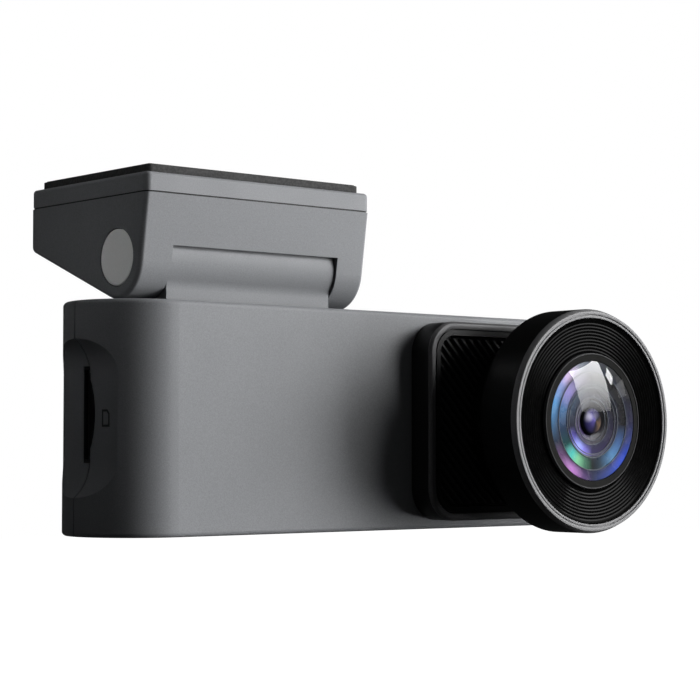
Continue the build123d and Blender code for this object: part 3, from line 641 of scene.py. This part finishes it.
def push_rings(steps):
    """Extrudes the selected ring through (radius, depth) steps; a radius of 0 closes it at the axis."""
    for (radius, depth), (next_radius, next_depth) in zip(steps, steps[1:]):
        back_by = (0, (next_depth - depth) * MM, 0)
        bpy.ops.mesh.extrude_edges_move(TRANSFORM_OT_translate={"value": back_by})
        if next_radius == 0:
            bpy.ops.mesh.merge(type="CENTER")
        else:
            share = next_radius / radius
            bpy.ops.transform.resize(value=(share, share, share), center_override=lens_point(next_depth))


def turned(name, steps, back=None, sides=144):
    """A ring turned about the lens axis; with back, both outlines go from one ring to the axis."""
    bpy.ops.object.select_all(action="DESELECT")
    radius, depth = steps[0]
    bpy.ops.mesh.primitive_circle_add(vertices=sides, radius=radius * MM,
                                      location=lens_point(depth), rotation=(math.pi / 2, 0, 0))
    piece = bpy.context.object
    piece.name = name
    bpy.ops.object.mode_set(mode="EDIT")
    bpy.ops.mesh.select_mode(type="EDGE")
    push_rings(steps)
    bpy.ops.mesh.select_all(action="DESELECT")
    bpy.ops.mesh.select_non_manifold()
    if back:
        push_rings(back)
    else:
        bpy.ops.mesh.bridge_edge_loops()
    bpy.ops.mesh.select_all(action="SELECT")
    bpy.ops.mesh.normals_make_consistent(inside=False)
    bpy.ops.object.mode_set(mode="OBJECT")
    return piece


def dome_steps(radius, edge_depth, rise, count):
    """Steps of a dome from its edge in to the axis; rise is how far its middle stands in front."""
    ball = (radius ** 2 + rise ** 2) / (2 * rise)
    rings = [radius * (1 - i / count) for i in range(count + 1)]
    return [(r, edge_depth - rise + ball - math.sqrt(ball ** 2 - r ** 2)) for r in rings]


# %% [markdown]
# ## The bright rim
# The rim is a turned metal trim: a wide outer bevel that looks to the side, a narrow bright land, a fine
# shadow groove and a second, thinner ring inside. The land and the inner ring face forward, so they
# shine brighter than the bevel.

# %% Rim
LAND_OUT, LAND_IN, GROOVE_IN, RIM_IN = 15.19, 14.75, 14.6, 14.3     # radii
RIM_BACK, GROOVE_DEEP, INNER_SET = 0.8, 0.2, 0.06                   # depths
rim_steps = [(RIM_IN, RIM_BACK), (RIM_R, RIM_BACK), (LAND_OUT, 0), (LAND_IN, 0),
             (LAND_IN, GROOVE_DEEP), (GROOVE_IN, GROOVE_DEEP), (GROOVE_IN, INNER_SET),
             (RIM_IN, INNER_SET)]
rim = turned("lens_rim_trim", rim_steps, sides=192)
bevel(rim, 0.035)
settle(rim)
dress(rim, "camera", rim_grey, "rim_metal", "lens_rim")

# %% [markdown]
# ## The grooved dish
# Round the glass lies a gloss black dish with fine concentric grooves. A groove is a smooth wave and not a
# notch: its slopes tilt the reflection of the soft box a little up and down, so the dish lights up in two
# fans, above and below the glass, and stays black at both sides. A notch would scatter it all round.

# %% Dish
DISH_R, DISH_IN, DISH_FRONT, DISH_DROP = 14.28, 9.42, 0.35, 0.35
WAVE_OUT, WAVE_IN, WAVES, WAVE_HIGH = 13.85, 9.75, 9, 0.045
WAVE_STEPS = 8
SKIRT_R, SKIRT_TOP, DISH_BACK = 13.95, 0.75, 3.6


def dish_depth(radius):
    """The dish slopes back gently towards the glass and carries the waves."""
    slope = DISH_DROP * (DISH_R - radius) / (DISH_R - DISH_IN)
    periods = (WAVE_OUT - radius) / (WAVE_OUT - WAVE_IN) * WAVES
    wave = WAVE_HIGH / 2 * (1 - math.cos(2 * math.pi * periods)) if 0 <= periods <= WAVES else 0
    return DISH_FRONT + slope + wave


wave_step = (WAVE_OUT - WAVE_IN) / (WAVES * WAVE_STEPS)
wave_radii = [WAVE_OUT - wave_step * i for i in range(WAVES * WAVE_STEPS + 1)]
dish_steps = [(SKIRT_R, DISH_BACK), (SKIRT_R, SKIRT_TOP), (DISH_R, SKIRT_TOP), (DISH_R, DISH_FRONT)]
dish_steps += [(r, dish_depth(r)) for r in wave_radii]
dish_steps += [(DISH_IN, dish_depth(DISH_IN)), (DISH_IN, DISH_BACK)]
dish = turned("grooved_dish", dish_steps, sides=192)
settle(dish)
dress(dish, "camera", gloss_black, "gloss_black", "lens_dish")

# %% [markdown]
# ## The retainer
# A flat, matt dark ring screws in to hold the front glass down. Its raised outer lip carries a painted
# highlight, a thin light circle. The outline climbs the outside, crosses the lip and the flat, and
# comes down inside over a small seat above the glass.

# %% Retainer
RETAINER_OUT, RETAINER_IN, FOOT_IN = 9.4, 8.32, 8.7      # radii
FOOT_BACK, SEAT = 2.5, 1.1                               # depths
retainer_steps = [(FOOT_IN, FOOT_BACK), (RETAINER_OUT, FOOT_BACK), (RETAINER_OUT, 0.24),
                  (9.28, 0.18), (9.18, 0.28), (8.36, 0.2), (RETAINER_IN, 0.26),
                  (RETAINER_IN, SEAT), (FOOT_IN, SEAT)]
retainer = turned("glass_retainer_ring", retainer_steps)
bevel(retainer, 0.03)
settle(retainer)
dress(retainer, "camera", ring_grey, "dark_metal", "glass_retainer")

# %% [markdown]
# ## The front glass
# The front element is a dome. It is made as a thin closed shell, so that its clear finish is met once on
# the way in and once on the way out: a circle is extruded and scaled inwards along a part of a sphere,
# outside and inside, and both ends are merged at the axis.

# %% Clear dome
DOME_R, DOME_EDGE, DOME_RISE, SHELL = 8.3, 0.14, 1.42, 0.16
inner_dome = dome_steps(DOME_R - SHELL, DOME_EDGE + 0.05, DOME_RISE - 0.1, 16)
dome = turned("front_glass_dome", dome_steps(DOME_R, DOME_EDGE, DOME_RISE, 16),
              back=[(DOME_R, DOME_EDGE)] + inner_dome)
settle(dome, 50)
dress(dome, "camera", dome_glass, "coated_glass", "front_glass")

# %% [markdown]
# ## The coated face
# Under the dome the eye meets the edges of the elements deeper in: steps with fine lips. Each step and
# each lip is one more scaled extrusion, so real edges catch the light in circles, and the lips also carry
# painted highlight lines.

# %% Coated face
FACE_R, FACE_DEPTH, FACE_BACK = 8.26, 0.28, 1.7
LIP_W, LIP_HIGH, STEP_DOWN = 0.07, 0.06, 0.07
face_steps = [(FACE_R, FACE_DEPTH)]
level = FACE_DEPTH + 0.03
for lip in RING_LIPS:
    crest = level - LIP_HIGH
    face_steps += [(lip + LIP_W, level), (lip + LIP_W / 2, crest), (lip - LIP_W / 2, crest),
                   (lip - LIP_W, level + STEP_DOWN / 2)]
    level += STEP_DOWN
WELL_R, WELL_FLOOR_R, WELL_DEEP = 2.3, 2.1, 0.15
face_steps += [(WELL_R, level), (WELL_FLOOR_R, level + WELL_DEEP), (0, level + WELL_DEEP)]
face = turned("coated_face", face_steps,
              back=[(FACE_R, FACE_DEPTH), (FACE_R, FACE_BACK), (0, FACE_BACK)])
settle(face, 50)
dress(face, "camera", coated_rings_painted_reflections, "coated_glass")

# %% [markdown]
# ## The bead
# In the middle sits the small front of an inner element, bulging like a bead. It is a steep dome on a
# short cylinder, from the same helper as the big dome, and it stands in the coated face's well.

# %% Bead
BEAD_R, BEAD_DEPTH, BEAD_RISE, BEAD_BACK = 1.92, 0.5, 0.75, 0.4
bead_foot = BEAD_DEPTH + BEAD_BACK
bead = turned("centre_element", dome_steps(BEAD_R, BEAD_DEPTH, BEAD_RISE, 12),
              back=[(BEAD_R, BEAD_DEPTH), (BEAD_R, bead_foot), (0, bead_foot)], sides=96)
settle(bead, 50)
dress(bead, "camera", bead_glass, "coated_glass")

# %% [markdown]
# ## Blocks with round corners
# Pads, keys and panels are plates with round corners. By hand: add a cube at its size, bevel its four
# corner edges, and go on from there. The helper picks the edges by their direction, because faces and
# edges are found in code by place and not by number.


# %% Helper for plates
def plate(name, low, high, corner, along, segments=8):
    """A box from low to high, in metres, with its four edges along one axis (0, 1 or 2) rounded."""
    low, high = Vector(low), Vector(high)
    bpy.ops.object.select_all(action="DESELECT")
    bpy.ops.mesh.primitive_cube_add(size=1, location=(low + high) / 2, scale=high - low)
    piece = bpy.context.object
    piece.name = name
    bpy.ops.object.transform_apply(location=True, rotation=True, scale=True)
    points = piece.data.vertices
    bpy.ops.object.mode_set(mode="EDIT")
    bpy.ops.mesh.select_mode(type="EDGE")
    bpy.ops.mesh.select_all(action="DESELECT")
    bpy.ops.object.mode_set(mode="OBJECT")
    for edge in piece.data.edges:
        run = points[edge.vertices[1]].co - points[edge.vertices[0]].co
        edge.select = abs(run[along]) > 0.9 * run.length
    bpy.ops.object.mode_set(mode="EDIT")
    bpy.ops.mesh.bevel(offset=corner * MM, segments=segments, affect="EDGES")
    bpy.ops.object.mode_set(mode="OBJECT")
    return piece


def pick_faces(piece, direction, nearest=0.999):
    """Selects the faces that look in a direction, and goes into edit mode."""
    only(piece)
    bpy.ops.object.mode_set(mode="EDIT")
    bpy.ops.mesh.select_mode(type="FACE")
    bpy.ops.mesh.select_all(action="DESELECT")
    bpy.ops.object.mode_set(mode="OBJECT")
    for face in piece.data.polygons:
        face.select = face.normal.dot(Vector(direction)) > nearest
    bpy.ops.object.mode_set(mode="EDIT")


# %% [markdown]
# ## The adhesive pad
# The pad is foam tape: a soft black slab with a thin adhesive film on top, cut a little smaller. The film
# is an inset and a short extrusion of the slab's upper face.

# %% Pad
pad_low, pad_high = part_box("adhesive_pad")
FILM, FILM_INSET, MOUNT_CORNER = 0.15, 0.35, 0.7
pad = plate("foam_pad", pad_low, pad_high - Vector((0, 0, FILM * MM)), MOUNT_CORNER, 2)
pick_faces(pad, (0, 0, 1))
bpy.ops.mesh.inset(thickness=FILM_INSET * MM)
bpy.ops.mesh.extrude_region_move(TRANSFORM_OT_translate={"value": (0, 0, FILM * MM)})
bpy.ops.object.mode_set(mode="OBJECT")
bevel(pad, 0.08)
settle(pad)
dress(pad, "mount", foam_black, "pad_foam", "adhesive_pad")
pad.data.materials.append(film_grey)
for face in pad.data.polygons:
    face.material_index = 1 if face.center.z > pad_high.z - 0.01 * MM else 0

# %% [markdown]
# ## The dark seam of the mount
# Between the cap and the housing runs a shadow gap with a thin black gasket. It is a plate of the gap's
# height, set a little inside both, so the seam reads as one even black line from every side.

# %% Seam gasket
GASKET_INSET, GAP = 0.12, 0.2
housing_low, housing_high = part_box("mount_housing")
inset = Vector((GASKET_INSET, GASKET_INSET, 0)) * MM
gasket_low = Vector((housing_low.x, mount_low.y, housing_high.z)) + inset
gasket_high = Vector((housing_high.x, mount_high.y, housing_high.z + GAP * MM)) - inset
gasket = plate("seam_gasket", gasket_low, gasket_high, MOUNT_CORNER, 2)
settle(gasket)
dress(gasket, "mount", satin_black, "black_plastic")

# %% [markdown]
# ## The ribbed panel
# Behind the lens the frame holds a sunken panel with straight ribs at 45 degrees. One rib is modelled
# with a sloped, softly rounded top, an Array modifier repeats it, and the rows are turned and then cut to
# the frame's opening and round the neck of the lens with Boolean modifiers.

# %% Panel and ribs
panel_low, panel_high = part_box("ribbed_panel")
RIB_HIGH, RIB_PITCH, RIB_WIDE = 0.5, 1.08, 0.62
RIB_TOP = 0.42                         # width of a rib's top as a share of its foot
PANEL_CORNER, NECK_CLEAR = 2.55, 11.25
face_y = panel_low.y + RIB_HIGH * MM
middle = (panel_low + panel_high) / 2


def neck_cutter():
    """A cylinder round the lens axis that opens a piece for the neck."""
    bpy.ops.object.select_all(action="DESELECT")
    bpy.ops.mesh.primitive_cylinder_add(vertices=128, radius=NECK_CLEAR * MM, depth=20 * MM,
                                        location=(AXIS_X, middle.y, AXIS_Z), rotation=(math.pi / 2, 0, 0))
    return bpy.context.object


def cut(piece, tool, operation):
    use_modifier(piece, "BOOLEAN", operation=operation, object=tool, solver="EXACT")
    bpy.data.objects.remove(tool)


panel = plate("rib_panel_base", (panel_low.x, face_y, panel_low.z), panel_high, PANEL_CORNER, 1)
cut(panel, neck_cutter(), "DIFFERENCE")
settle(panel)
dress(panel, "camera", satin_black, "black_plastic", "ribbed_panel")

LEAN = math.radians(-45)
reach = panel_high.x - panel_low.x + panel_high.z - panel_low.z
count = int(reach / math.sqrt(2) / (RIB_PITCH * MM)) + 1
row = Vector((math.cos(LEAN), 0, -math.sin(LEAN)))
rib_middle = Vector((middle.x, face_y - RIB_HIGH / 2 * MM, middle.z))
bpy.ops.object.select_all(action="DESELECT")
bpy.ops.mesh.primitive_cube_add(size=1, location=rib_middle - row * (count - 1) / 2 * RIB_PITCH * MM,
                                rotation=(0, LEAN, 0), scale=(RIB_WIDE * MM, RIB_HIGH * MM, reach))
ribs = bpy.context.object
ribs.name = "panel_ribs"
bpy.ops.object.transform_apply(location=False, rotation=False, scale=True)
pick_faces(ribs, (0, -1, 0))
bpy.ops.transform.resize(value=(RIB_TOP, 1, 1), orient_type="LOCAL")
bpy.ops.object.mode_set(mode="OBJECT")
bevel(ribs, 0.06, segments=2, angle=20)
use_modifier(ribs, "ARRAY", count=count, use_relative_offset=False, use_constant_offset=True,
             constant_offset_displace=(RIB_PITCH * MM, 0, 0))
settle(ribs, 30)

RIB_ROOM = 0.35                        # between the ribs' ends and the frame
room = Vector((RIB_ROOM, 0, RIB_ROOM)) * MM
through = Vector((0, 5, 0)) * MM
window = plate("rib_window", panel_low + room - through, panel_high - room + through,
               PANEL_CORNER - RIB_ROOM, 1)
cut(ribs, window, "INTERSECT")
cut(ribs, neck_cutter(), "DIFFERENCE")
settle(ribs, 30)
dress(ribs, "camera", rib_black, "black_plastic", "ribbed_panel")

# %% [markdown]
# ## The light edge of the frame
# The frame is black, but its front edge is a light trim: a narrow chamfer to the outside, then a flat land
# up to the shadow groove. It starts as a plate just outside the frame's edge. An inset with depth makes the
# chamfer, and a second plate opens it along the groove.

# %% Frame trim
CHAMFER, LAND, TRIM_DEEP, FRAME_CORNER, PROUD = 0.3, 0.68, 0.55, 4.5, 0.02
frame_low, frame_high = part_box("lens_frame")
around = Vector((PROUD, 0, PROUD)) * MM
trim_front = frame_low.y - PROUD * MM
trim_low = Vector((frame_low.x, trim_front + CHAMFER * MM, frame_low.z)) - around
trim_high = Vector((frame_high.x, trim_front + TRIM_DEEP * MM, frame_high.z)) + around
trim = plate("frame_trim", trim_low, trim_high, FRAME_CORNER, 1, segments=14)
pick_faces(trim, (0, -1, 0))
bpy.ops.mesh.inset(thickness=CHAMFER * MM, depth=CHAMFER * MM)
bpy.ops.object.mode_set(mode="OBJECT")
inside = Vector((CHAMFER + LAND, 0, CHAMFER + LAND)) * MM
opening = plate("frame_opening", trim_low + inside - through, trim_high - inside + through,
                FRAME_CORNER - CHAMFER - LAND, 1, segments=14)
cut(trim, opening, "DIFFERENCE")
bevel(trim, 0.04)
settle(trim, 25)
dress(trim, "camera", frame_grey, "black_plastic")

# %% [markdown]
# ## A mark beside the card slot
# A plain outline of a card, one corner cut off, is printed on the floor of the card bay. It starts as a
# plane whose corner is bevelled, an inset leaves the outline, and Solidify gives it the thickness of
# thick paint.

# %% Card mark
BAY_DEPTH = 2.35                       # of the scoop's flat floor, from the end of the body, in mm
MARK_WIDE, MARK_TALL, MARK_CUT, STROKE, PAINT = 1.7, 2.2, 0.5, 0.28, 0.04
MARK_BACK = 3.6                        # of the mark from the seam of the shells
shell_low, shell_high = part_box("front_shell")
card_low, card_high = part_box("memory_card")
bay_x = shell_low.x + BAY_DEPTH * MM
mark_y = shell_high.y - MARK_BACK * MM
mark_z = (shell_low.z + shell_high.z) / 2


def outline_mark(name, location, rotation, wide, tall, corner):
    """A flat frame with one clipped corner, made solid by Solidify."""
    bpy.ops.object.select_all(action="DESELECT")
    bpy.ops.mesh.primitive_plane_add(size=1, location=location, rotation=rotation)
    piece = bpy.context.object
    piece.name = name
    piece.scale = (wide * MM, tall * MM, 1)
    bpy.ops.object.transform_apply(location=False, rotation=False, scale=True)
    bpy.ops.object.mode_set(mode="EDIT")
    bpy.ops.mesh.select_mode(type="VERT")
    bpy.ops.mesh.select_all(action="DESELECT")
    bpy.ops.object.mode_set(mode="OBJECT")
    max(piece.data.vertices, key=lambda point: point.co.x + point.co.y).select = True
    bpy.ops.object.mode_set(mode="EDIT")
    bpy.ops.mesh.bevel(offset=corner * MM, segments=1, affect="VERTICES")
    bpy.ops.mesh.select_mode(type="FACE")
    bpy.ops.mesh.select_all(action="SELECT")
    bpy.ops.mesh.inset(thickness=STROKE * MM)
    bpy.ops.mesh.delete(type="FACE")
    bpy.ops.object.mode_set(mode="OBJECT")
    use_modifier(piece, "SOLIDIFY", thickness=PAINT * MM, offset=0.0)
    return piece


card_mark = outline_mark("card_mark", (bay_x, mark_y, mark_z), (math.pi / 2, 0, -math.pi / 2),
                         MARK_WIDE, MARK_TALL, MARK_CUT)
settle(card_mark)
dress(card_mark, "camera", mark_and_shade_black, "black_plastic")

# %% [markdown]
# ## The liner of the card slot
# A thin black liner is painted shade: a dark sheet over the slot's far wall and its two ends, which
# leaves the side of the nail notch open. It is a plate with a second plate cut out of it, a little wider
# than the card that slides through.

# %% Slot liner
SIDE_ROOM, END_ROOM, LINER_WALL = 0.1, 0.2, 0.09
LINER_SET, LINER_BACK, LINER_NEAR, LINER_PAST = 0.05, 0.65, 0.2, 0.66
liner_far = card_high.y + (SIDE_ROOM + LINER_WALL) * MM
liner_low = Vector((bay_x + LINER_SET * MM, card_low.y - LINER_NEAR * MM, card_low.z - LINER_PAST * MM))
liner_high = Vector((bay_x + LINER_BACK * MM, liner_far, card_high.z + LINER_PAST * MM))
liner = plate("slot_shade_liner", liner_low, liner_high, 0.03, 0, segments=2)
passage_low = Vector((bay_x - 1 * MM, card_low.y - 1 * MM, card_low.z - END_ROOM * MM))
passage_high = Vector((bay_x + 2 * MM, card_high.y + SIDE_ROOM * MM, card_high.z + END_ROOM * MM))
cut(liner, plate("card_passage", passage_low, passage_high, 0.03, 0, segments=2), "DIFFERENCE")
settle(liner)
# the black finish here is painted shade in the slot; on the card mark it is print
dress(liner, "camera", mark_and_shade_black, "black_plastic")

# %% [markdown]
# ## Marks on the keys
# Each key carries a small raised sign: bars for the menu, an arrow up, an arrow down and a ring for
# power. They are flat shapes made solid, and each rides on its own key, so it moves when the key does.

# %% Key marks
SIGN = 0.05                            # how far a sign stands up, in mm
SIGN_R, POWER_HOLE = 0.75, 0.52
BAR_HALF_LONG, BAR_HALF_HIGH, BAR_PITCH = 0.7, 0.1, 0.45


def flat_sign(name, key, vertices, radius, turn, hole=0.0):
    """A polygon, or a ring if it has a hole, on the middle of a key's face."""
    low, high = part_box(key)
    spot = ((low.x + high.x) / 2, high.y, (low.z + high.z) / 2)
    bpy.ops.object.select_all(action="DESELECT")
    bpy.ops.mesh.primitive_circle_add(vertices=vertices, radius=radius * MM, fill_type="NGON",
                                      location=spot, rotation=(-math.pi / 2, turn, 0))
    piece = bpy.context.object
    piece.name = name
    if hole:
        bpy.ops.object.mode_set(mode="EDIT")
        bpy.ops.mesh.inset(thickness=(radius - hole) * MM)
        bpy.ops.mesh.delete(type="FACE")
        bpy.ops.object.mode_set(mode="OBJECT")
    use_modifier(piece, "SOLIDIFY", thickness=2 * SIGN * MM, offset=0.0)
    bevel(piece, 0.03)
    settle(piece)
    dress(piece, key, mark_white, "key_grey")
    return piece


flat_sign("up_sign", "up_key", 3, SIGN_R, math.pi)
flat_sign("down_sign", "down_key", 3, SIGN_R, 0)
flat_sign("power_sign", "power_key", 48, SIGN_R, 0, hole=POWER_HOLE)
menu_low, menu_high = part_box("menu_key")
menu_x, menu_z = (menu_low.x + menu_high.x) / 2, (menu_low.z + menu_high.z) / 2
for i in (-1, 0, 1):
    centre = Vector((menu_x, menu_high.y, menu_z + i * BAR_PITCH * MM))
    half = Vector((BAR_HALF_LONG, SIGN, BAR_HALF_HIGH)) * MM
    bar = plate(f"menu_sign_{i + 2}", centre - half, centre + half, 0.04, 1, segments=3)
    settle(bar)
    dress(bar, "menu_key", mark_white, "key_grey")

# %% [markdown]
# ## Contacts of the memory card
# When the card slides out, the gold pads at its inner end show. One pad is a thin plate with round
# corners, and an Array modifier makes the row of eight.

# %% Card contacts
PADS, PAD_PITCH, PAD_WIDE, PAD_LONG, PAD_THICK, PAD_CORNER = 8, 1.1, 0.8, 2.6, 0.07, 0.15
END_GAP, PAD_SUNK, FIRST_PAD = 0.6, 0.05, 1.25
first = Vector((card_high.x - END_GAP * MM - PAD_LONG * MM, card_high.y - PAD_SUNK * MM,
                card_low.z + FIRST_PAD * MM))
contacts = plate("card_contacts", first, first + Vector((PAD_LONG, PAD_THICK, PAD_WIDE)) * MM,
                 PAD_CORNER, 1, segments=4)
use_modifier(contacts, "ARRAY", count=PADS, use_relative_offset=False, use_constant_offset=True,
             constant_offset_displace=(0, 0, PAD_PITCH * MM))
settle(contacts)
dress(contacts, "memory_card", gold, "card_black")
